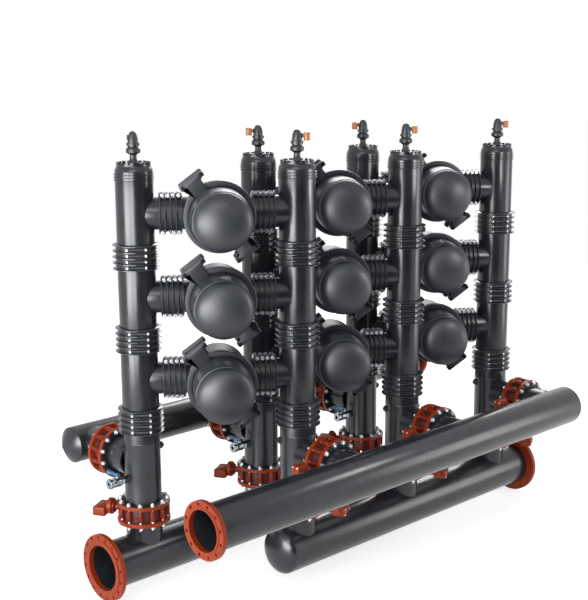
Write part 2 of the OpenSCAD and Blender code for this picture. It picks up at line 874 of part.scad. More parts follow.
module lugs(z) {
    difference() {
        lug_places() translate([0, 0, z]) {
            translate([pod_bore / 2 + pod_wall / 2, -lug_neck_w / 2, 0])
                cube([lug_reach - pod_bore / 2 - pod_wall / 2, lug_neck_w, lug_t]);
            translate([lug_reach - lug_bar_h, -lug_bar_w / 2, 0]) cube([lug_bar_h, lug_bar_w, lug_t]);
        }
        tie_bolt_places() translate([0, 0, z - overlap])
            cylinder(d = tie_bolt_d + bolt_play, h = lug_t + 2 * overlap);
    }
}

module pod_body() {
    difference() {
        union() {
            difference() {
                union() {
                    translate([0, 0, -pod_back]) rotate([180, 0, 0]) rotate_extrude()
                        polygon(domed(pod_body_d / 2, pod_seam + pod_back, pod_back_h));
                    translate([0, 0, pod_seam - pod_flange_t]) cylinder(d = pod_flange_d, h = pod_flange_t);
                    for (end = [0, 180]) rotate(end) along_x(0) cylinder(d = stub_d, h = socket_reach);
                    lugs(rear_lug_z);
                }
                translate([0, 0, -pod_back]) rotate([180, 0, 0]) rotate_extrude()
                    polygon(domed(pod_bore / 2, pod_seam + pod_back + overlap, pod_back_h - pod_wall));
                rotate(180) along_x(0) cylinder(d = stub_bore, h = socket_reach + overlap);
            }
            translate([0, 0, riser_foot]) cylinder(d = riser_d, h = riser_top - riser_foot);
            along_x(0) cylinder(d = cross_d, h = pod_body_d / 2 - pod_wall / 2);
        }
        translate([0, 0, riser_foot + pod_wall]) cylinder(d = riser_bore, h = riser_top - riser_foot);
        along_x(0) cylinder(d = cross_bore, h = socket_reach);
        along_x(pod_body_d / 2 + stub_wall) cylinder(d = stub_bore, h = socket_reach);
        translate([0, 0, pod_seam - seal_h])
            tube(seal_groove_d + seal_w, seal_groove_d - seal_w, seal_h + overlap);
    }
}

module pod_bodies() {
    color(charcoal) at_pods() pod_body();
}

module pod_seals() {
    color(rubber_black) at_pods() translate([0, 0, pod_seam - seal_h])
        tube(seal_groove_d + seal_w - 2 * slip_fit, seal_groove_d - seal_w + 2 * slip_fit, seal_h);
}

// Pod cover: flange ring, shallow groove, skirt and dome, with the front lugs
cover_ring_t = 30;
cover_groove_d = pod_bore + 18;
cover_groove_w = 14;
cover_wall = 10;

module pod_cover() {
    difference() {
        union() {
            translate([0, 0, pod_seam]) {
                cylinder(d = pod_flange_d, h = cover_ring_t);
                cylinder(d = cover_groove_d, h = skirt_l);
                translate([0, 0, skirt_l]) rotate_extrude()
                    polygon(domed(dome_d / 2, skirt_l - cover_ring_t - cover_groove_w, cover_dome_h, 18));
            }
            lugs(front_lug_z);
        }
        translate([0, 0, pod_seam + skirt_l]) rotate_extrude()
            polygon(domed(pod_bore / 2, skirt_l + overlap, cover_dome_h - cover_wall, 18));
    }
}

module pod_covers() {
    color(charcoal) at_pods() pod_cover();
}

module pod_tie_bolts() {
    head_h = 10;
    reach = lug_span + lug_t;
    color(zinc) at_pods() tie_bolt_places() translate([0, 0, rear_lug_z]) {
        cylinder(d = tie_bolt_d, h = reach);
        translate([0, 0, reach]) hex(24, head_h);
        translate([0, 0, -head_h]) hex(24, head_h);
    }
}

// Filter element: spine on the riser, disc stack round it, sprung compression plate on its end
spine_wall = 9;
spine_base_t = 15;
spine_slots = 6;
spine_slot_w = 34;
stack_foot = riser_top + spine_base_t;
stack_top = stack_foot + stack_l;
plate_t = 16;
spring_wall = 4;
spring_folds = 6;
spring_foot = stack_top + plate_t;
spring_top = spring_foot + 42;
spine_end = spring_top + 10;
keeper_d = 186;

module filter_spine() {
    difference() {
        union() {
            translate([0, 0, riser_top - 24]) cylinder(d = riser_bore - 2 * slip_fit, h = 24);
            translate([0, 0, riser_top]) cylinder(d = stack_d, h = spine_base_t);
            translate([0, 0, riser_top]) cylinder(d = spine_d, h = spine_end - riser_top);
            translate([0, 0, spring_top]) cylinder(d = keeper_d, h = spine_end - spring_top);
        }
        translate([0, 0, riser_top - 24 - overlap])
            cylinder(d = spine_d - 2 * spine_wall, h = stack_top + 24 - riser_top);
        for (s = [0 : spine_slots - 1]) rotate(s * 360 / spine_slots)
            translate([0, -spine_slot_w / 2, stack_foot + 20]) cube([spine_d, spine_slot_w, stack_l - 60]);
    }
}

module filter_spines() {
    color(charcoal) at_pods() filter_spine();
}

// The grooved discs, pressed into one stack
stack_groups = 9;

module disc_stack() {
    group = stack_l / stack_groups;
    groove = 3;
    rotate_extrude() polygon(concat(
        [[spine_d / 2 + slip_fit, 0]],
        [for (s = [0 : stack_groups - 1]) each [
            [stack_d / 2, s * group], [stack_d / 2, (s + 1) * group - groove],
            [stack_d / 2 - groove, (s + 1) * group - groove], [stack_d / 2 - groove, (s + 1) * group]]],
        [[spine_d / 2 + slip_fit, stack_l]]));
}

module disc_stacks() {
    color(disc_green) at_pods() translate([0, 0, stack_foot]) disc_stack();
}

module compression_plate(i, k) {
    color(charcoal) at_pod(i, k) translate([0, 0, stack_top]) difference() {
        cylinder(d = stack_d, h = plate_t);
        translate([0, 0, -overlap]) cylinder(d = spine_d + 2 * shaft_fit, h = plate_t + 2 * overlap);
    }
}

// Disc springs stacked edge to edge between the plate and the keeper on the spine's end
module plate_springs() {
    step = (spring_top - spring_foot) / spring_folds;
    inner = spine_d / 2 + 2;
    outer = keeper_d / 2;
    color(zinc) at_pods() translate([0, 0, spring_foot]) rotate_extrude() polygon(concat(
        [for (s = [0 : spring_folds]) [s % 2 == 0 ? inner + spring_wall : outer, s * step]],
        [for (s = [spring_folds : -1 : 0]) [s % 2 == 0 ? inner : outer - spring_wall, s * step]]));
}

inlet_manifold();
outlet_manifold();
backflush_manifold();
drain_manifold();
main_end_flanges();
side_end_flanges();
base_tees();
column_tees();
column_caps();
column_coupling_halves();
stub_coupling_halves();
column_coupling_bolts();
stub_coupling_bolts();
column_gaskets();
stub_gaskets();
valve_bodies();
valve_seats();
backing_rings();
flange_studs();
valve_gearboxes();
gearbox_lids();
base_plugs();
cock_nipples();
cock_bodies();
air_valve_bases();
air_valve_domes();
air_valve_outlets();
pod_bodies();
pod_covers();
pod_seals();
pod_tie_bolts();
filter_spines();
disc_stacks();
plate_springs();
at_column(0, 0) in_bottom_valve() valve_disc();  // inlet_valve_disc_1
at_column(0, 1) in_bottom_valve() valve_disc();  // inlet_valve_disc_2
at_column(0, 2) in_bottom_valve() valve_disc();  // inlet_valve_disc_3
at_column(180, 2) in_bottom_valve() valve_disc();  // outlet_valve_disc_1
at_column(180, 1) in_bottom_valve() valve_disc();  // outlet_valve_disc_2
at_column(180, 0) in_bottom_valve() valve_disc();  // outlet_valve_disc_3
at_column(0, 0) in_side_valve() valve_disc();  // drain_valve_disc_1
at_column(0, 1) in_side_valve() valve_disc();  // drain_valve_disc_2
at_column(0, 2) in_side_valve() valve_disc();  // drain_valve_disc_3
at_column(180, 2) in_side_valve() valve_disc();  // backflush_valve_disc_1
at_column(180, 1) in_side_valve() valve_disc();  // backflush_valve_disc_2
at_column(180, 0) in_side_valve() valve_disc();  // backflush_valve_disc_3
cock_lever(0);  // cock_lever_1
cock_lever(1);  // cock_lever_2
cock_lever(2);  // cock_lever_3
compression_plate(0, 0);  // compression_plate_1_1
compression_plate(0, 1);  // compression_plate_1_2
compression_plate(0, 2);  // compression_plate_1_3
compression_plate(1, 0);  // compression_plate_2_1
compression_plate(1, 1);  // compression_plate_2_2
compression_plate(1, 2);  // compression_plate_2_3
compression_plate(2, 0);  // compression_plate_3_1
compression_plate(2, 1);  // compression_plate_3_2
compression_plate(2, 2);  // compression_plate_3_3
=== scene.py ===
import math

import bmesh
import bpy
from mathutils import Matrix, Vector


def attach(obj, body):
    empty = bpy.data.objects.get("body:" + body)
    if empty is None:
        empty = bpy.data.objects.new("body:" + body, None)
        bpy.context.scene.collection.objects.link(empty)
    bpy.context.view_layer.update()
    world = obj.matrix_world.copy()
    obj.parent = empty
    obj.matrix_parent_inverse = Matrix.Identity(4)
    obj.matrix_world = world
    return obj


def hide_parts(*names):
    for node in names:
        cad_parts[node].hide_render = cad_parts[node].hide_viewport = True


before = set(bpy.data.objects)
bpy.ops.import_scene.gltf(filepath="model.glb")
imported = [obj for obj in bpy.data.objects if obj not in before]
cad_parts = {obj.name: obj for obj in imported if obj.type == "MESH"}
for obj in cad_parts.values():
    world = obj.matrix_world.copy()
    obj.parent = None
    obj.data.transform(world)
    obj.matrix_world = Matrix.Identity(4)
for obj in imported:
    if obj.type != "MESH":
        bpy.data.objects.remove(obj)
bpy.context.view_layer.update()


# Manifolds: four lengths of black polyethylene pipe, two large ones underneath and two at the
# sides. The necks and collars for the valves are butt welded on, and one end is closed.

def linear(hex_colour):
    """An sRGB hex colour as linear RGBA."""
    parts = [int(hex_colour[i:i + 2], 16) / 255 for i in (1, 3, 5)]
    return (*[p / 12.92 if p <= 0.04045 else ((p + 0.055) / 1.055) ** 2.4 for p in parts], 1.0)


def add(tree, kind, inputs=None, **settings):
    """Adds one node, with its settings, and fills its inputs with values or links."""
    node = tree.nodes.new(kind)
    for key, value in settings.items():
        setattr(node, key, value)
    for key, value in (inputs or {}).items():
        if isinstance(value, bpy.types.NodeSocket):
            tree.links.new(value, node.inputs[key])
        else:
            node.inputs[key].default_value = value
    return node


def finish(name, dark, light, patch_mm, roughness, grain_mm, relief_mm, edge_mm=0, **constants):
    """A procedural finish: two tones in soft patches, uneven gloss and a fine relief."""
    material = bpy.data.materials.new(name)
    material.use_nodes = True
    tree = material.node_tree
    shader = tree.nodes["Principled BSDF"]
    place = add(tree, "ShaderNodeTexCoord").outputs["Object"]
    patches = add(tree, "ShaderNodeTexNoise", {"Vector": place, "Scale": 1000 / patch_mm, "Detail": 4.0})
    tone = add(tree, "ShaderNodeMapRange", {"Value": patches.outputs["Fac"], "From Min": 0.3, "From Max": 0.7})
    colour = add(tree, "ShaderNodeMix", {0: tone.outputs["Result"], 6: linear(dark), 7: linear(light)},
                 data_type="RGBA")
    grain = add(tree, "ShaderNodeTexNoise", {"Vector": place, "Scale": 1000 / grain_mm, "Detail": 2.0})
    gloss = add(tree, "ShaderNodeMapRange", {"Value": patches.outputs["Fac"], "From Min": 0.25,
                                             "From Max": 0.75, "To Min": roughness[0], "To Max": roughness[1]})
    relief = add(tree, "ShaderNodeBump", {"Height": grain.outputs["Fac"], "Strength": 0.6,
                                          "Distance": relief_mm / 1000})
    if edge_mm:
        edge = add(tree, "ShaderNodeBevel", {"Radius": edge_mm / 1000}, samples=4)
        tree.links.new(edge.outputs["Normal"], relief.inputs["Normal"])
    tree.links.new(colour.outputs[2], shader.inputs["Base Color"])
    tree.links.new(gloss.outputs["Result"], shader.inputs["Roughness"])
    tree.links.new(relief.outputs["Normal"], shader.inputs["Normal"])
    for key, value in constants.items():
        shader.inputs[key.replace("_", " ").title().replace("Ior", "IOR")].default_value = value
    return material


def turned(axis, degrees):
    return Matrix.Rotation(math.radians(degrees), 4, axis)


def at(x, y, z):
    return Matrix.Translation((x, y, z))


def eased(outline, ease, steps=3):
    """Rounds the corners of an outline in mm; a third value gives a corner its own ease."""
    points = []
    for i, corner in enumerate(outline):
        here = Vector(corner[:2])
        back = Vector(outline[i - 1][:2]) - here
        ahead = Vector(outline[(i + 1) % len(outline)][:2]) - here
        cut = corner[2] if len(corner) > 2 else ease
        cut = min(cut, back.length * 0.45, ahead.length * 0.45)
        if cut < 0.05 or abs(here.x) < 1e-6:
            points.append((here.x, here.y))
            continue
        first, last = here + back.normalized() * cut, here + ahead.normalized() * cut
        for s in range(steps + 1):
            t = s / steps
            point = first * (1 - t) ** 2 + here * 2 * t * (1 - t) + last * t * t
            points.append((point.x, point.y))
    return points


def lathe(shell, outline, place=Matrix(), steps=64, arc=None):
    """Turns a closed (radius, height) outline about Z, all round or over an arc in degrees."""
    start, end = arc or (0, 360)
    count = steps if arc is None else steps + 1
    angles = [math.radians(start + (end - start) * s / steps) for s in range(count)]
    rings = []
    for radius, height in outline:
        spots = [(0, 0)] if radius < 1e-6 else [(radius * math.cos(a), radius * math.sin(a)) for a in angles]
        rings.append([shell.verts.new(place @ Vector((x, y, height))) for x, y in spots])
    for low, high in zip(rings, rings[1:] + rings[:1]):
        for s in range(steps):
            t = (s + 1) % count
            corners = [low[s % len(low)], low[t % len(low)], high[t % len(high)], high[s % len(high)]]
            corners = [v for i, v in enumerate(corners) if v not in corners[:i]]
            if len(corners) > 2:
                shell.faces.new(corners)
    if arc:
        shell.faces.new([ring[0] for ring in rings])
        shell.faces.new([ring[-1] for ring in reversed(rings)])


def slab(shell, outline, low, high, ease, place=Matrix(), steps=3):
    """A plate with the given (x, y) outline and rounded edges at both faces."""
    centre = sum((Vector(p) for p in outline), Vector((0, 0))) / len(outline)
    normals = []
    for i, point in enumerate(outline):
        along = Vector(outline[(i + 1) % len(outline)]) - Vector(outline[i - 1])
        normals.append(Vector((along.y, -along.x)).normalized())
    turn = sum((Vector(p) - centre).dot(n) for p, n in zip(outline, normals))
    sign = 1 if turn > 0 else -1
    layers = []
    for s in range(steps + 1):
        angle = math.pi / 2 * s / steps
        layers.append((ease * (1 - math.sin(angle)), low + ease * (1 - math.cos(angle))))
    layers += [(inset, low + high - z) for inset, z in reversed(layers)]
    rings = [[shell.verts.new(place @ Vector((*(Vector(p) - n * sign * inset), z)))
              for p, n in zip(outline, normals)] for inset, z in layers]
    for a, b in zip(rings, rings[1:]):
        for s in range(len(outline)):
            t = (s + 1) % len(outline)
            shell.faces.new((a[s], a[t], b[t], b[s]))
    shell.faces.new(rings[0])
    shell.faces.new(rings[-1])


def block(shell, low, high, ease, place=Matrix()):
    """A box with rounded edges."""
    corners = [(low[0], low[1]), (high[0], low[1]), (high[0], high[1]), (low[0], high[1])]
    slab(shell, eased(corners, ease), low[2], high[2], ease, place)


def copy_tree():
    """Geometry Nodes: puts a part at every place, turned as the place says, as real mesh."""
    tree = bpy.data.node_groups.new("copies_at_places", "GeometryNodeTree")
    for name, kind in (("Places", "Geometry"), ("Part", "Object"), ("Finish", "Material")):
        tree.interface.new_socket(name, in_out="INPUT", socket_type="NodeSocket" + kind)
    tree.interface.new_socket("Copies", in_out="OUTPUT", socket_type="NodeSocketGeometry")
    entry = add(tree, "NodeGroupInput")
    part = add(tree, "GeometryNodeObjectInfo", {"Object": entry.outputs["Part"], "As Instance": True})
    turn = add(tree, "GeometryNodeInputNamedAttribute", {"Name": "turn"}, data_type="FLOAT_VECTOR")
    angle = add(tree, "FunctionNodeEulerToRotation", {"Euler": turn.outputs["Attribute"]})
    put = add(tree, "GeometryNodeInstanceOnPoints", {
        "Points": entry.outputs["Places"], "Instance": part.outputs["Geometry"],
        "Rotation": angle.outputs["Rotation"]})
    real = add(tree, "GeometryNodeRealizeInstances", {"Geometry": put.outputs["Instances"]})
    dressed = add(tree, "GeometryNodeSetMaterial", {
        "Geometry": real.outputs["Geometry"], "Material": entry.outputs["Finish"]})
    add(tree, "NodeGroupOutput", {"Copies": dressed.outputs["Geometry"]})
    return tree


copies_at_places = copy_tree()


def spread(make, places, material):
    """Copies of one part, drawn in mm by make(shell), at all the places: (mesh, material)."""
    shell = bmesh.new()
    make(shell)
    bmesh.ops.recalc_face_normals(shell, faces=shell.faces)
    bmesh.ops.scale(shell, vec=(0.001, 0.001, 0.001), verts=shell.verts)
    part = bpy.data.objects.new("part", bpy.data.meshes.new("part"))
    shell.to_mesh(part.data)
    shell.free()
    spots = bpy.data.meshes.new("places")
    spots.from_pydata([place.translation / 1000 for place in places], [], [])
    turns = spots.attributes.new("turn", "FLOAT_VECTOR", "POINT")
    for spot, place in zip(turns.data, places):
        spot.vector = place.to_euler("XYZ")
    holder = bpy.data.objects.new("places", spots)
    for item in (part, holder):
        bpy.context.scene.collection.objects.link(item)
    modifier = holder.modifiers.new("copies", "NODES")
    modifier.node_group = copies_at_places
    values = {"Part": part, "Finish": material}
    for socket in copies_at_places.interface.items_tree:
        if socket.name in values:
            modifier[socket.identifier] = values[socket.name]
    graph = bpy.context.evaluated_depsgraph_get()
    graph.update()
    mesh = bpy.data.meshes.new_from_object(holder.evaluated_get(graph), depsgraph=graph)
    holder.modifiers.remove(modifier)
    for item in (part, holder):
        data = item.data
        bpy.data.objects.remove(item)
        bpy.data.meshes.remove(data)
    return mesh, material


def piece(name, groups, slot, *nodes, body="battery", sharp=32):
    """One finished object from (mesh, material) groups, riding on a body in place of CAD nodes."""
    mesh = bpy.data.meshes.new(name)
    shell = bmesh.new()
    for source, material in groups:
        first = len(shell.faces)
        shell.from_mesh(source)
        if mesh.materials.find(material.name) < 0:
            mesh.materials.append(material)
        shell.faces.ensure_lookup_table()
        for face in shell.faces[first:]:
            face.material_index = mesh.materials.find(material.name)
            face.smooth = True
        bpy.data.meshes.remove(source)
    shell.to_mesh(mesh)
    shell.free()
    mesh.set_sharp_from_angle(angle=math.radians(sharp))
    made = bpy.data.objects.new(name, mesh)
    bpy.context.scene.collection.objects.link(made)
    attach(made, body)
    if nodes:
        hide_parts(*nodes)
    return made


# Black polyethylene, extruded: dense charcoal with a satin skin that shows soft long highlights
# and only a faint mottle.
pipe_plastic = finish("extruded_polyethylene", "#2b2d33", "#34373d", 140, (0.22, 0.29), 5, 0.04,
                      ior=1.5, specular_ior_level=0.5)
COLUMN_X = (-1665, -475, 715)
ROW_Y = 343
MAIN_Z = 252.5
SIDE_Y = 1025
SIDE_Z = 989.5
CLOSED_REACH = 175
MAIN_DOME_X = 890
MAIN_LENGTH = 2908
SIDE_LENGTH = 4011
SIDE_WALL = 18
ALONG_X = turned("Y", 90)
rows = [turned("Z", turn) for turn in (0, 180)]
columns = [row @ at(x, ROW_Y, 0) for row in rows for x in COLUMN_X]


def dome_line(radius, base, height, steps=16):
    """Points of a quarter ellipse from the rim towards the pole, without either end."""
    return [(radius * math.cos(math.pi / 2 * s / steps), base + height * math.sin(math.pi / 2 * s / steps))
            for s in range(1, steps)]


def main_pipe(shell):
    outer, bore = 177.5, 170.5
    lathe(shell, [(bore, -MAIN_LENGTH), (outer, -MAIN_LENGTH), (outer, 0)] + dome_line(outer, 0, 80)
          + [(0, 80), (0, 73)] + dome_line(bore, 0, 73)[::-1] + [(bore, 0)],
          at(MAIN_DOME_X, ROW_Y, MAIN_Z) @ ALONG_X, 128)


def main_neck(shell):
    lathe(shell, eased([(120.5, 112), (136.5, 112), (136.5, 303, 4), (161, 303), (161, 317),
                        (120.5, 317)], 1.5), steps=96)


def side_pipe(radius):
    def pipe(shell):
        bore = radius - SIDE_WALL
        lathe(shell, eased([(0, -85), (radius, 0, 6), (radius, SIDE_LENGTH), (bore, SIDE_LENGTH), (bore, 0),
                            (0, 0)], 1), at(COLUMN_X[0] - CLOSED_REACH, SIDE_Y, SIDE_Z) @ ALONG_X, 128)
    return pipe


def side_neck(shell):
    lathe(shell, eased([(120.5, 90), (136.5, 90), (136.5, 285, 4), (161, 285), (161, 299), (120.5, 299)], 1.5),
          turned("X", 90), 96)


for row, name, side_name, radius in zip(rows, ("inlet_manifold", "outlet_manifold"),
                                        ("drain_manifold", "backflush_manifold"), (140, 157.5)):
    piece(name + "_pipe", [
        spread(main_pipe, [row], pipe_plastic),
        spread(main_neck, [row @ at(x, ROW_Y, MAIN_Z) for x in COLUMN_X], pipe_plastic),
    ], "charcoal_plastic", name)
    piece(side_name + "_pipe", [
        spread(side_pipe(radius), [row], pipe_plastic),
        spread(side_neck, [row @ at(x, SIDE_Y, SIDE_Z) for x in COLUMN_X], pipe_plastic),
    ], "charcoal_plastic", side_name)


# End flanges: drilled steel rings on the four open pipe ends, in red-brown epoxy powder coat.
# A raised face inside the bolt circle takes the gasket of the next pipe.

def smooth_copy(node, material):
    """A merged copy of a CAD node with smooth round walls, shown in the node's place."""
    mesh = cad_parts[node].data.copy()
    mesh.name = node + "_skin"
    shell = bmesh.new()
    shell.from_mesh(mesh)
    bmesh.ops.remove_doubles(shell, verts=shell.verts, dist=1e-5)
    for face in shell.faces:
        face.smooth = True
        face.material_index = 0
    shell.to_mesh(mesh)
    shell.free()
    mesh.materials.clear()
    mesh.materials.append(material)
    if "custom_normal" in mesh.attributes:
        mesh.attributes.remove(mesh.attributes["custom_normal"])
    mesh.set_sharp_from_angle(angle=math.radians(28))
    skin = bpy.data.objects.new(node + "_skin", mesh)
    bpy.context.scene.collection.objects.link(skin)
    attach(skin, "battery")
    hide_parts(node)


# Epoxy powder coat, sprayed and baked: even colour, half gloss, a fine orange peel.
flange_coat = finish("epoxy_powder_coat", "#a53404", "#b54209", 90, (0.38, 0.5), 4, 0.1,
                     ior=1.5, specular_ior_level=0.3)
for node in ("main_end_flanges", "side_end_flanges"):
    smooth_copy(node, flange_coat)


# Column bases: moulded tees on the bottom valves, with a side neck to the side valve, two plug
# bosses and a boss for the cock. The column tees above them carry the stubs to the pods.

# Polypropylene, injection moulded: charcoal, a little glossier than the pipe.
moulded_plastic = finish("moulded_polypropylene", "#292b31", "#33363c", 160, (0.21, 0.28), 6, 0.04,
                         ior=1.5, specular_ior_level=0.5)
SWING = 35.83
JOINT_Z = (1318.5, 1926.5, 2534.5)
STUB_RISE = 304
CAP_SEAM_Z = 3079.5
TEE_TOPS = (1923.5, 2531.5, CAP_SEAM_Z)
PLUG_Z = 1102.5
PLUG_TURNS = (160, -30)
COCK_Z = 880.5
SEAM_Z = 1150
stubs = [column @ at(0, 0, z + STUB_RISE) @ turned("Z", -SWING) @ ALONG_X
         for column in columns for z in JOINT_Z]


def base_pipe(shell):
    lathe(shell, eased([(120.5, 645.5), (161, 645.5), (161, 659.5), (136.5, 659.5, 4), (136.5, SEAM_Z - 3, 1.5),
                        (138.3, SEAM_Z, 2), (136.5, SEAM_Z + 3, 1.5), (136.5, 1315.5), (120.5, 1315.5)], 1.5),
          steps=128)


def base_neck(shell):
    lathe(shell, eased([(120.5, 95), (136.5, 95), (136.5, 293, 4), (161, 293), (161, 307), (120.5, 307)], 1.5),
          turned("X", -90), 96)


def plug_boss(shell):
    lathe(shell, eased([(17, 110), (28, 110), (28, 146.5), (17, 146.5)], 2), ALONG_X, 40)


def cock_boss(shell):
    lathe(shell, eased([(20, 110), (32, 110), (32, 146.5), (20, 146.5)], 2), turned("Y", -90), 40)


piece("base_mouldings", [
    spread(base_pipe, columns, moulded_plastic),
    spread(base_neck, [column @ at(0, 0, SIDE_Z) for column in columns], moulded_plastic),
    spread(plug_boss, [column @ at(0, 0, PLUG_Z) @ turned("Z", turn)
                       for column in columns for turn in PLUG_TURNS], moulded_plastic),
    spread(cock_boss, [column @ at(0, 0, COCK_Z) for column in columns[:3]], moulded_plastic),
], "charcoal_plastic", "base_tees")


def tee_pipe(length):
    def pipe(shell):
        lathe(shell, eased([(120.5, 3), (136.5, 3), (136.5, length), (120.5, length)], 1.5), steps=128)
    return pipe


def tee_stub(shell):
    lathe(shell, eased([(104, 70), (118, 70), (118, 249), (104, 249)], 1.5), steps=96)


piece("tee_mouldings", [
    *[spread(tee_pipe(top - z), [column @ at(0, 0, z) for column in columns], moulded_plastic)
      for z, top in zip(JOINT_Z, TEE_TOPS)],
    spread(tee_stub, stubs, moulded_plastic),
], "charcoal_plastic", "column_tees")


# Valve bodies: twelve cast wafer bodies, each a short ring with twelve lugs round the studs, a
# neck for the stem and a blind journal boss opposite. Cast iron, red epoxy coat.

BOTTOM_VALVE_Z = 607.5
SIDE_VALVE_Y = 345
valves = [column @ seat for column in columns for seat in (
    at(0, 0, BOTTOM_VALVE_Z) @ turned("Z", 120), at(0, SIDE_VALVE_Y, SIDE_Z) @ turned("X", 90))]
STUD_COUNT = 12
STUD_CIRCLE_R = 175
stud_places = [turned("Z", (s + 0.5) * 360 / STUD_COUNT) @ at(STUD_CIRCLE_R, 0, 0) for s in range(STUD_COUNT)]


def valve_ring(shell):
    lathe(shell, eased([(131, -38), (161, -38), (161, 38), (131, 38)], 2.5), steps=96)


def valve_neck(shell):
    lathe(shell, eased([(16, 140), (25, 140), (25, 225, 5), (48, 232, 5), (48, 246), (16, 246)], 2),
          ALONG_X, 40)
    lathe(shell, eased([(0, 140), (25, 140), (25, 167, 4), (0, 167)], 1), turned("Y", -90), 40)


def valve_lug(shell):
    lathe(shell, eased([(11, -38), (20, -38), (20, 38), (11, 38)], 3, 2), steps=20)


# Painted shade on the body between the lugs: the red coat darkened to dark brown-red, dull.
body_painted_shade = finish("valve_body_painted_shade", "#4a1a0e", "#5e2412", 50, (0.5, 0.65), 5, 0.2,
                     ior=1.5, specular_ior_level=0.4)
# Cast iron under red epoxy: a little darker and rougher than the turned flanges.
cast_coat = finish("epoxy_on_cast_iron", "#862107", "#98290a", 60, (0.38, 0.5), 5, 0.2,
                   ior=1.5, specular_ior_level=0.3)
piece("valve_castings", [
    spread(valve_ring, valves, body_painted_shade),
    spread(valve_neck, valves, cast_coat),
    spread(valve_lug, [valve @ stud for valve in valves for stud in stud_places], cast_coat),
], "flange_coat", "valve_bodies")


# Backing rings: one ductile iron ring behind each pipe collar, coated red on its rim and back,
# with a black face where the nuts sit.

RING_TOP = 80


def ring_iron(shell):
    lathe(shell, eased([(138, 52), (197.5, 52), (197.5, 79.4), (138, 79.4)], 2.5), steps=96)


def ring_face(shell):
    lathe(shell, eased([(139, RING_TOP - 1), (188, RING_TOP - 1), (188, RING_TOP), (139, RING_TOP)], 0.4),
          steps=96)


ring_places = [valve @ turned("X", end) for valve in valves for end in (0, 180)]
# Black primer on the machined face: matt, slightly mottled.
face_primer = finish("black_primer", "#17181a", "#232427", 40, (0.45, 0.6), 3, 0.1,
                     ior=1.5, specular_ior_level=0.5)
piece("ring_castings", [
    spread(ring_iron, ring_places, flange_coat),
    spread(ring_face, ring_places, face_primer),
], "flange_coat", "backing_rings")


# Studs: twelve zinc plated rods through the rings and lugs of each valve, threaded at both ends,
# with a washer and a hex nut. The thread is drawn at 4 mm, coarser than it is, so that it shows.

WASHER_TOP = 83


def stud_rod(shell):
    thread = [(10 - 0.9 * (s % 2), 103 - 2 * s) for s in range(12)]
    far_thread = [(r, -z) for r, z in thread]
    lathe(shell, [(0, -104), (8.4, -104)] + far_thread + thread[::-1] + [(8.4, 104), (0, 104)], steps=10)


def washer(shell):
    lathe(shell, [(10, RING_TOP), (18.5, RING_TOP), (18.5, 82.2), (17.7, WASHER_TOP), (10, WASHER_TOP)],
          steps=20)


def hex_nut(shell):
    lathe(shell, [(9, WASHER_TOP), (15.4, WASHER_TOP), (17.32, 84.5), (17.32, 94.5), (15.4, 96), (9, 96)],
          steps=6)


valve_studs = [valve @ stud for valve in valves for stud in stud_places]
stud_ends = [stud @ turned("X", end) for stud in valve_studs for end in (0, 180)]
# Zinc plate on steel: bright bluish grey, satin, with cloudy gloss.
zinc_plate = finish("zinc_plated_steel", "#c9ccd2", "#eceef1", 14, (0.22, 0.36), 2, 0.05,
                    metallic=1.0)
piece("stud_hardware", [
    spread(stud_rod, valve_studs, zinc_plate),
    spread(washer, stud_ends, zinc_plate),
    spread(hex_nut, stud_ends, zinc_plate),
], "zinc", "flange_studs", sharp=25)


# Gearboxes: a round quadrant housing on the valve's top plate and a worm housing across its
# end, with an input boss and a round lid. Cast iron, red epoxy coat.

WORM_Z = -26
WORM_END_Y = 82.5
WORM_FACE_X = 386


def gearbox_housing(shell):
    lathe(shell, eased([(15.2, 246), (52, 246), (62, 250, 4), (62, 282, 7), (54, 288), (15.2, 288)], 3),
          ALONG_X, 56)
    block(shell, (286, -WORM_END_Y, -61), (WORM_FACE_X, WORM_END_Y, 9), 9)
    lathe(shell, eased([(0, -4), (30, -4), (30, 6, 2), (22, 8, 2), (22, 18, 2), (0, 18)], 1.5),
          at(337, -WORM_END_Y, WORM_Z) @ turned("X", 90), 32)
    for side in (-1, 1):
        block(shell, (292, side * 58 - 7, -64), (380, side * 58 + 7, 11), 4)


def gearbox_lid(shell):
    lathe(shell, eased([(0, 383), (26, 383), (26, 391, 2), (17, 391, 1), (15, 394, 1), (0, 394)], 1.5),
          at(0, 0, WORM_Z) @ ALONG_X, 36)


def gearbox_screw(shell):
    lathe(shell, [(0, 0), (6, 0), (6.9, 1), (6.9, 5), (5.6, 6), (0, 6)], steps=6)


screw_places = [valve @ at(WORM_FACE_X, y, z + WORM_Z) @ ALONG_X
                for valve in valves for y in (-70, 70) for z in (-22, 22)]
piece("gearbox_castings", [spread(gearbox_housing, valves, flange_coat)], "flange_coat", "valve_gearboxes")
piece("gearbox_covers", [
    spread(gearbox_lid, valves, flange_coat),
    spread(gearbox_screw, screw_places, zinc_plate),
], "flange_coat", "gearbox_lids")


# Seats, valve discs and gaskets: moulded rubber liners and rings inside the joints, and cast
# stainless discs on their stems.

def dress(material, *nodes):
    """Gives CAD nodes a finish in place of their plain colour."""
    for node in nodes:
        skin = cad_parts[node].data
        skin.materials.clear()
        skin.materials.append(material)


# EPDM rubber, moulded: near black, dull, fine grain.
rubber = finish("epdm_rubber", "#151617", "#1f2022", 25, (0.6, 0.75), 2, 0.15,
                ior=1.52, specular_ior_level=0.5)
dress(rubber, "valve_seats", "column_gaskets", "stub_gaskets", "pod_seals")
# Stainless steel, cast and blasted: pale grey, even satin.
stainless = finish("blasted_stainless", "#8f9296", "#a9acb0", 12, (0.3, 0.42), 1.5, 0.08,
                   metallic=1.0)
dress(stainless, *[f"{duty}_valve_disc_{i}" for duty in ("inlet", "outlet", "drain", "backflush")
                   for i in (1, 2, 3)])


# Plugs: black moulded plugs with a hex head, screwed into the bosses of each column base.

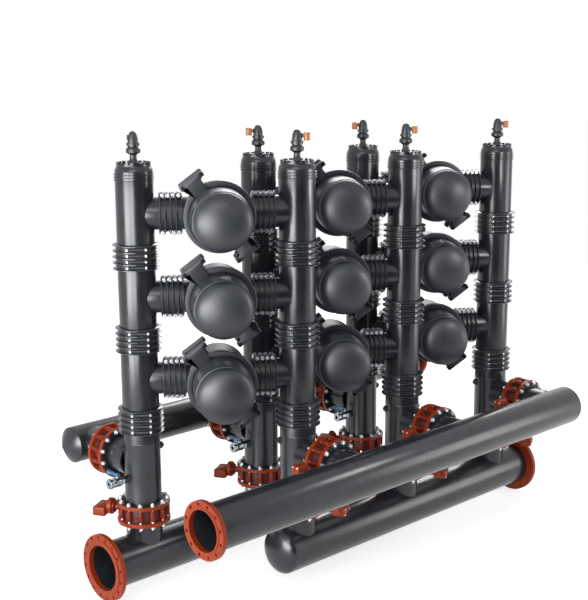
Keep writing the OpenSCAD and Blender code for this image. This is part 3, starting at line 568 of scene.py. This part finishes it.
def plug(shell):
    lathe(shell, eased([(0, 126.5), (16.5, 126.5), (16.5, 146.5, 0), (23, 146.5), (23, 154.5, 3),
                        (0, 154.5)], 1), steps=36)
    lathe(shell, [(0, 153), (13.7, 153), (13.7, 161), (12.4, 162.5), (0, 162.5)], steps=6)


# Black polypropylene fittings: plain glossy moulding.
fitting_plastic = finish("black_polypropylene", "#191a1c", "#222326", 30, (0.26, 0.36), 3, 0.05,
                         ior=1.5, specular_ior_level=0.5)
piece("plug_mouldings", [
    spread(plug, [column @ at(0, 0, PLUG_Z) @ turned("Z", turn) @ ALONG_X
                  for column in columns for turn in PLUG_TURNS], fitting_plastic),
], "black_fitting", "base_plugs")


# Drain cocks: one ball cock on each inlet column, a chromed brass body on a black hex nipple,
# with a lever that turns a quarter on the stem.

COCK_CENTRE = 234.26
COCK_FOOT = 180.5
cocks = [column @ at(0, 0, COCK_Z) @ turned("Y", -90) for column in columns[:3]]


def nipple(shell):
    lathe(shell, eased([(13, 122.5), (19.7, 122.5), (19.7, 146.5), (13, 146.5)], 0.8), steps=32)
    lathe(shell, [(13, 146.5), (29, 146.5), (31.18, 148.5), (31.18, 178.5), (29, COCK_FOOT),
                  (13, COCK_FOOT)], steps=6)


def cock_body(shell):
    lathe(shell, [(13, COCK_FOOT), (30.5, COCK_FOOT), (33.4, COCK_FOOT + 2), (33.4, COCK_FOOT + 24),
                  (30.5, COCK_FOOT + 26), (13, COCK_FOOT + 26)], steps=6)
    lathe(shell, eased([(14, 204), (28, 204), (36, 212, 6), (36, 264, 8), (30, 276, 4), (30, 280, 3),
                        (38, 281, 3), (38, 308.5, 3), (14, 308.5)], 1.5), steps=48)
    lathe(shell, eased([(7.2, 20), (15, 20), (15, 38, 2), (12, 44, 1.5), (7.2, 44)], 1),
          at(0, 0, COCK_CENTRE) @ turned("Y", 90), 32)


# Chromed brass: mid grey metal, bright, a little softened by polishing.
chrome = finish("chromed_brass", "#7f858d", "#a7acb3", 20, (0.16, 0.26), 3, 0.02, metallic=1.0)
piece("nipple_mouldings", [spread(nipple, cocks, fitting_plastic)], "black_fitting", "cock_nipples")
piece("cock_castings", [spread(cock_body, cocks, chrome)], "cock_chrome", "cock_bodies")


def cock_handle(shell):
    ball = [(19.5 * math.sin(math.pi * s / 16), -19.5 * math.cos(math.pi * s / 16)) for s in range(17)]
    lathe(shell, ball, steps=24)
    lathe(shell, eased([(0, 16.5), (7, 16.5), (7, 56), (0, 56)], 0.8), steps=20)
    hub = [(16 * math.cos(math.radians(a)), 16 * math.sin(math.radians(a))) for a in range(130, 411, 14)]
    edge = [(10, 40), (13, 60), (13, 98), (11, 110), (6, 117)]
    grip = edge + [(-x, y) for x, y in reversed(edge)]
    slab(shell, hub + grip, 44.4, 66, 5)


# Dipped vinyl on a steel lever: clear mid blue, soft gloss.
lever_vinyl = finish("blue_vinyl_dip", "#2a7cbb", "#4795cf", 30, (0.3, 0.42), 3, 0.08,
                     ior=1.5, specular_ior_level=0.5)
for i, column in enumerate(columns[:3]):
    piece(f"cock_handle_{i + 1}", [
        spread(cock_handle, [column @ at(-COCK_CENTRE, 0, COCK_Z)], lever_vinyl),
    ], "lever_blue", f"cock_lever_{i + 1}", body=f"cock_lever_{i + 1}")


# Couplings: two ribbed half shells bolted round every joint of the columns and of the stubs, with
# bolt pads along both splits. Glass filled polypropylene, moulded.

STUB_JOINT = 252
RIB_COUNT = 5
RIB_T = 9
BOLT_GRIP = 60
SPLIT_ANGLE = 88.8
column_joints = [column @ at(0, 0, z) @ turned("Z", -SWING) for column in columns for z in JOINT_Z]
stub_joints = [stub @ at(0, 0, STUB_JOINT) @ turned("Z", 90) for stub in stubs]
# Glass filled polypropylene: charcoal, drier than the pipes, with flow marks; its colour is darkened as painted
# shade for the grooves between the ribs and the bolt pads.
coupling_plastic_painted_shade = finish("glass_filled_polypropylene_painted_shade", "#1b1d20", "#25272b", 70, (0.34, 0.45), 4, 0.12,
                          ior=1.5, specular_ior_level=0.5)
# The same plastic on the rib crests, coloured lighter as a painted highlight along each crest, and glossier.
crest_plastic_painted_highlight = finish("rib_crest_painted_highlight", "#41454c", "#50545c", 60, (0.2, 0.28), 4, 0.05,
                       ior=1.5, specular_ior_level=0.6)


def coupling(name, bore_r, pitch, joints, halves_node, bolts_node):
    half_length = (RIB_COUNT - 1) / 2 * pitch + RIB_T / 2
    sleeve_r = bore_r + 9
    rib_r = sleeve_r + 24
    bolt_y = sleeve_r + 6
    pad_foot = math.sqrt(bore_r ** 2 - BOLT_GRIP ** 2) + 4.5
    pad_top = sleeve_r + 4
    arc = (-SPLIT_ANGLE, SPLIT_ANGLE)

    def sleeve(shell):
        lathe(shell, eased([(bore_r, -half_length), (sleeve_r, -half_length), (sleeve_r, half_length),
                            (bore_r, half_length)], 1.5, 1), steps=40, arc=arc)
        for side in (-1, 1):
            low, high = sorted((side * pad_foot, side * pad_top))
            block(shell, (3, low, -half_length), (58, high, half_length), 3)
            for s in range(RIB_COUNT - 1):
                lathe(shell, [(6, 0.4), (12.5, 0.4), (12.5, BOLT_GRIP), (6, BOLT_GRIP)],
                      at(0, side * bolt_y, (s - (RIB_COUNT - 2) / 2) * pitch) @ ALONG_X, 14)

    def rib(shell):
        flank = [(sleeve_r - 4, 8), (sleeve_r + 2, 7), (rib_r - 3, RIB_T / 2 - 0.7), (rib_r, RIB_T / 2 - 2.7)]
        lathe(shell, [(r, -z) for r, z in flank] + flank[::-1], steps=32, arc=arc)

    def bolt(shell):
        lathe(shell, [(0, -BOLT_GRIP), (6, -BOLT_GRIP), (6, BOLT_GRIP), (0, BOLT_GRIP)], steps=10)
        for end in (turned("X", 0), turned("X", 180)):
            lathe(shell, [(5, BOLT_GRIP), (15, BOLT_GRIP), (15, 62.4), (14.4, 63), (5, 63)], end, 14)
            lathe(shell, [(0, 63), (12.4, 63), (13.5, 64), (13.5, 73), (12, 74.5), (0, 74.5)], end, 6)

    halves = [joint @ turned("Z", turn) for joint in joints for turn in (0, 180)]
    ribs = [half @ at(0, 0, (s - (RIB_COUNT - 1) / 2) * pitch)
            for half in halves for s in range(RIB_COUNT)]
    bolts = [joint @ at(0, side * bolt_y, (s - (RIB_COUNT - 2) / 2) * pitch) @ ALONG_X
             for joint in joints for side in (-1, 1) for s in range(RIB_COUNT - 1)]
    piece(name + "_couplings", [
        spread(sleeve, halves, coupling_plastic_painted_shade),
        spread(rib, ribs, crest_plastic_painted_highlight),
    ], "charcoal_plastic", halves_node)
    piece(name + "_coupling_hardware", [spread(bolt, bolts, zinc_plate)], "zinc", bolts_node)


coupling("column", 136.5, 43, column_joints, "column_coupling_halves", "column_coupling_bolts")
coupling("stub", 118, 39, stub_joints, "stub_coupling_halves", "stub_coupling_bolts")


# Column caps: a moulded cap welded on each column, with three thin rings at its foot, a round
# shoulder and a toothed rim for the spanner.

TOOTH_COUNT = 18
caps = [column @ at(0, 0, CAP_SEAM_Z) for column in columns]


def cap_shell(shell):
    lathe(shell, eased([(104.5, -40), (120.2, -40), (120.2, 0, 0), (136.5, 0, 0), (136.5, 66, 10),
                        (132, 84, 10), (122, 100, 8), (122, 118, 1.5), (110, 118, 1.5), (110, 104, 5),
                        (60, 102, 5), (60, 124, 3), (17, 124), (17, 72, 0), (104.5, 72)], 1.5), steps=96)


def cap_tooth(shell):
    lathe(shell, eased([(110, 116), (122, 116), (122, 132), (110, 132)], 2), steps=4, arc=(-5.8, 5.8))


def cap_ring(shell):
    lathe(shell, eased([(133, 0), (144.5, 0), (144.5, 8), (133, 8)], 3), steps=96)


piece("cap_mouldings", [
    spread(cap_shell, caps, moulded_plastic),
    spread(cap_tooth, [cap @ turned("Z", (s + 0.5) * 360 / TOOTH_COUNT)
                       for cap in caps for s in range(TOOTH_COUNT)], moulded_plastic),
    spread(cap_ring, [cap @ at(0, 0, 20 * s) for cap in caps for s in range(3)], moulded_plastic),
], "charcoal_plastic", "column_caps")


# Air release valves: a small acorn shaped valve screwed into each cap, glass filled nylon, with
# an orange outlet elbow on all but the first.

AIR_SEAT_Z = 3203.5
OUTLET_RISE = 178
air_valves = [column @ at(0, 0, AIR_SEAT_Z) for column in columns]


def air_base(shell):
    lathe(shell, eased([(0, -20), (16.7, -20), (16.7, 0, 0), (36, 0), (36, 8, 3), (25, 27), (24, 56, 3),
                        (49, 72, 4), (49, 97, 4), (37, 111), (0, 111)], 2), steps=48)


def air_dome(shell):
    bell = [(37 * math.cos(math.radians(a)) ** 0.7, 142.1 + 79.9 * math.sin(math.radians(a)))
            for a in range(0, 90, 5)]
    collar = eased([(0, 111), (37, 111), (37, 120), (46, 120), (46, 142), (37.2, 142.1, 1)], 1.5)[:-2]
    lathe(shell, collar + bell + [(0, 222)], steps=48)
    lathe(shell, eased([(0, 20), (17, 20), (17, 42), (0, 42)], 2),
          at(0, 0, OUTLET_RISE) @ turned("Z", 180 - SWING) @ ALONG_X, 28)


def bulb_rib(shell):
    block(shell, (47.5, -3, 70), (51, 3, 99), 1.2)


bulb_ribs = [valve @ turned("Z", s * 30) for valve in air_valves for s in range(12)]
# Glass filled nylon: charcoal, dry satin.
nylon = finish("glass_filled_nylon", "#2a2c31", "#393c43", 40, (0.34, 0.46), 3, 0.1,
               ior=1.53, specular_ior_level=0.5)
piece("air_valve_bulbs", [
    spread(air_base, air_valves, nylon), spread(bulb_rib, bulb_ribs, nylon),
], "charcoal_plastic", "air_valve_bases")
piece("air_valve_bells", [spread(air_dome, air_valves, nylon)], "charcoal_plastic", "air_valve_domes")


def air_outlet(shell):
    way = at(0, 0, OUTLET_RISE) @ turned("Z", 180 - SWING)
    lathe(shell, eased([(0, 42), (13, 42), (13, 72), (0, 72)], 1.5), way @ ALONG_X, 28)
    lathe(shell, eased([(16, -36), (23, -36), (23, 20), (14, 24, 5), (0, 24), (0, 16), (16, 14)], 3),
          way @ at(72, 0, 0), 32)


# Orange polypropylene: warm, even, soft gloss.
outlet_plastic = finish("orange_polypropylene", "#dd8438", "#eb9a50", 30, (0.3, 0.42), 3, 0.06,
                        ior=1.5, specular_ior_level=0.5)
piece("air_outlet_elbows", [spread(air_outlet, air_valves[1:], outlet_plastic)],
      "outlet_orange", "air_valve_outlets")


# Pods: nine filter bodies that hang between the two rows of columns on their sockets. Glass filled
# polypropylene, moulded, with T shaped lugs for the tie bolts.

COLUMN_PITCH = 1190
pods = [at((i - 1) * COLUMN_PITCH, 0, z + STUB_RISE) @ turned("Z", -SWING) @ turned("X", 90)
        for i in range(3) for z in JOINT_Z]
POD_SEAM = 262
DOME_FOOT = 570
LUG_TURN = 127
REAR_LUG_Z = 89
FRONT_LUG_Z = 264
LUG_T = 48
TIE_X = 320
TIE_Y = 79


def lug_pair(shell, z):
    outline = [(206, -56.5), (206, 56.5), (300, 56.5, 10), (300, 99, 9), (340, 99, 14), (340, -99, 14),
               (300, -99, 9), (300, -56.5, 10)]
    for turn in (LUG_TURN, LUG_TURN + 180):
        slab(shell, eased(outline, 1), z, z + LUG_T, 7, turned("Z", turn))


def pod_body(shell):
    wall = eased([(215, -150, 0), (215, 234, 8), (256, 234, 6), (256, POD_SEAM, 2), (196, POD_SEAM, 1),
                  (196, -150, 0)], 1)
    back = dome_line(215, -150, -60)
    hollow = dome_line(196, -150, -41)
    lathe(shell, [(0, -210)] + back[::-1] + wall + hollow + [(0, -191)], steps=96)
    for end in (0, 180):
        lathe(shell, eased([(104, 168), (118, 168), (118, 330.9), (104, 330.9)], 1.5),
              turned("Z", end) @ ALONG_X, 72)
    lug_pair(shell, REAR_LUG_Z)


def pod_cover(shell):
    wall = eased([(196, POD_SEAM, 0), (256, POD_SEAM, 1.5), (256, 292, 9), (222, 292, 6), (212, 288, 4),
                  (205, 292, 3), (205, 306, 3), (216, 306, 4), (209, 556, 5), (200, 559, 2),
                  (200, 565, 2), (203, 566, 1.5), (203, DOME_FOOT, 0)], 1)
    front = dome_line(203, DOME_FOOT, 95)
    hollow = dome_line(190, DOME_FOOT, 85)
    lathe(shell, wall + front + [(0, 665), (0, 655)] + hollow[::-1] + [(190, DOME_FOOT), (196, 540)], steps=96)
    lug_pair(shell, FRONT_LUG_Z)


# Polypropylene with a satin moulding skin: broad, soft highlights on the domes.
pod_plastic = finish("pod_polypropylene", "#2f323a", "#3a3d45", 180, (0.38, 0.45), 5, 0.03,
                     ior=1.5, specular_ior_level=0.5)
piece("pod_mouldings", [spread(pod_body, pods, pod_plastic)], "charcoal_plastic", "pod_bodies")
piece("cover_mouldings", [spread(pod_cover, pods, pod_plastic)], "charcoal_plastic", "pod_covers")


# Tie bolts: four long bolts between the front and rear lugs of each pod, black oxide on steel, so
# they hardly show against the lugs.

def tie_bolt(shell):
    foot, top = REAR_LUG_Z, FRONT_LUG_Z + LUG_T
    lathe(shell, [(0, foot), (8, foot), (8, top), (0, top)], steps=12)
    for z, sign in ((top, 1), (foot, -1)):
        lathe(shell, [(0, z), (12.6, z), (13.86, z + sign), (13.86, z + 8 * sign), (12.4, z + 10 * sign),
                      (0, z + 10 * sign)], steps=6)


tie_places = [pod @ turned("Z", turn) @ at(TIE_X, side * TIE_Y, 0)
              for pod in pods for turn in (LUG_TURN, LUG_TURN + 180) for side in (-1, 1)]
# Black oxide on steel: dark brown-black, oily satin.
black_oxide = finish("black_oxide_steel", "#1c1d1f", "#292a2d", 12, (0.38, 0.5), 2, 0.05,
                     metallic=1.0)
piece("tie_bolt_hardware", [spread(tie_bolt, tie_places, black_oxide)], "zinc", "pod_tie_bolts", sharp=25)


# Filter elements: a perforated spine in each pod carries the pressed stack of grooved discs, which
# a sprung plate holds together.

dress(moulded_plastic, "filter_spines", *[f"compression_plate_{i}_{k}" for i in (1, 2, 3) for k in (1, 2, 3)])
dress(stainless, "plate_springs")
# Polypropylene discs, grooved and stacked: matt green with a fine grain.
disc_plastic = finish("grooved_polypropylene_discs", "#3f6b4a", "#578a64", 30, (0.4, 0.55), 4, 0.4,
                      ior=1.5, specular_ior_level=0.5)
dress(disc_plastic, "disc_stacks")


# Studio: a pale floor and a white background, a big soft light on the left, one on the right and
# one high on the left, and a dark panel that only shows as gloss on the plastic.

def stage_material(name, colour, roughness):
    material = bpy.data.materials.new(name)
    material.use_nodes = True
    shader = material.node_tree.nodes["Principled BSDF"]
    shader.inputs["Base Color"].default_value = linear(colour)
    shader.inputs["Roughness"].default_value = roughness
    return material


def panel(name, width, height, place, material):
    mesh = bpy.data.meshes.new(name)
    x, y = width / 2, height / 2
    spots = [(-x, -y), (x, -y), (x, y), (-x, y)]
    mesh.from_pydata([place @ Vector((*spot, 0)) for spot in spots], [], [(0, 1, 2, 3)])
    mesh.materials.append(material)
    made = bpy.data.objects.new(name, mesh)
    bpy.context.scene.collection.objects.link(made)
    return made


def shown_white(tree):
    """1 where the eye, a mirror or glass looks at the background, 0 where it lights the object."""
    ray = add(tree, "ShaderNodeLightPath")
    seen = add(tree, "ShaderNodeMath", {0: ray.outputs["Is Camera Ray"], 1: ray.outputs["Is Glossy Ray"]},
               operation="MAXIMUM")
    return add(tree, "ShaderNodeMath", {0: seen.outputs[0], 1: ray.outputs["Is Transmission Ray"]},
               operation="MAXIMUM").outputs[0]


# White floor paint: flat, with a glow that only the eye sees, so that it meets the background.
FLOOR_GLOW = 0.74
floor_paint = stage_material("white_floor", "#f4f4f4", 0.9)
floor_tree = floor_paint.node_tree
lift = add(floor_tree, "ShaderNodeMath", {0: shown_white(floor_tree), 1: FLOOR_GLOW}, operation="MULTIPLY")
glow = floor_tree.nodes["Principled BSDF"]
glow.inputs["Emission Color"].default_value = linear("#ffffff")
floor_tree.links.new(lift.outputs[0], glow.inputs["Emission Strength"])
panel("floor", 160, 160, Matrix(), floor_paint)

world = bpy.data.worlds.new("studio")
bpy.context.scene.world = world
world.use_nodes = True
sky = world.node_tree
for node in list(sky.nodes):
    sky.nodes.remove(node)
dim = add(sky, "ShaderNodeBackground", {"Color": linear("#ffffff"), "Strength": 0.22})
white = add(sky, "ShaderNodeBackground", {"Color": linear("#ffffff"), "Strength": 1.0})
both = add(sky, "ShaderNodeMixShader", {0: shown_white(sky), 1: dim.outputs[0], 2: white.outputs[0]})
add(sky, "ShaderNodeOutputWorld", {"Surface": both.outputs[0]})

TARGET = Vector((0, 0, 1.7))


def soft_light(name, spot, width, height, power, gloss=True, diffuse=True):
    light = bpy.data.lights.new(name, "AREA")
    light.shape = "RECTANGLE"
    light.size = width
    light.size_y = height
    light.energy = power
    lamp = bpy.data.objects.new(name, light)
    lamp.location = spot
    lamp.rotation_euler = (TARGET - Vector(spot)).to_track_quat("-Z", "Y").to_euler()
    lamp.visible_glossy = gloss
    lamp.visible_diffuse = diffuse
    lamp.visible_camera = False
    bpy.context.scene.collection.objects.link(lamp)


soft_light("left_key", (-9.5, -0.7, 2.0), 4.6, 4.0, 330)
soft_light("left_sheen", (-9.6, -0.7, 1.9), 4.6, 3.9, 560, diffuse=False)
soft_light("right_key", (7.2, -6.9, 2.0), 3.6, 4.0, 210)
soft_light("back_right", (6.6, 5.0, 7.0), 6.0, 4.0, 620, diffuse=False)
soft_light("pod_glint", (0.95, -2.4, 3.1), 0.7, 0.7, 22, diffuse=False)
soft_light("near_sheen", (-4.8, -2.1, 2.3), 1.6, 2.4, 150, diffuse=False)
soft_light("back_fill", (5.5, 8.5, 5.0), 6.0, 4.0, 240, gloss=False)
soft_light("upper_left", (-7.5, -5.5, 8.0), 6.0, 4.0, 270)

# Dark cloth in front, seen only in reflections: it gives the round walls their dark middle.
flag_cloth = stage_material("black_flag_cloth", "#0a0a0a", 1.0)
flag_place = at(-2.6, -5.2, 2.0) @ turned("Z", -26.6) @ turned("X", 90)
flag = panel("flag", 6.6, 4.6, flag_place, flag_cloth)
flag.visible_camera = flag.visible_diffuse = flag.visible_shadow = False

# Camera at the photograph's place and angle.
forward = Vector((0.6766, 0.7098, -0.1959)).normalized()
right = forward.cross(Vector((0, 0, 1))).normalized()
up = right.cross(forward)
roll = math.radians(-0.23)
right, up = right * math.cos(roll) + up * math.sin(roll), up * math.cos(roll) - right * math.sin(roll)
camera = bpy.data.objects.new("camera", bpy.data.cameras.new("camera"))
camera.data.lens = 70.6
camera.data.sensor_fit = "VERTICAL"
camera.data.sensor_height = 36
camera.data.clip_end = 200
aim = Matrix((right, up, -forward)).transposed().to_4x4()
camera.matrix_world = at(-6.621, -6.501, 3.879) @ aim
bpy.context.scene.collection.objects.link(camera)
bpy.context.scene.camera = camera
bpy.context.scene.view_settings.view_transform = "Standard"
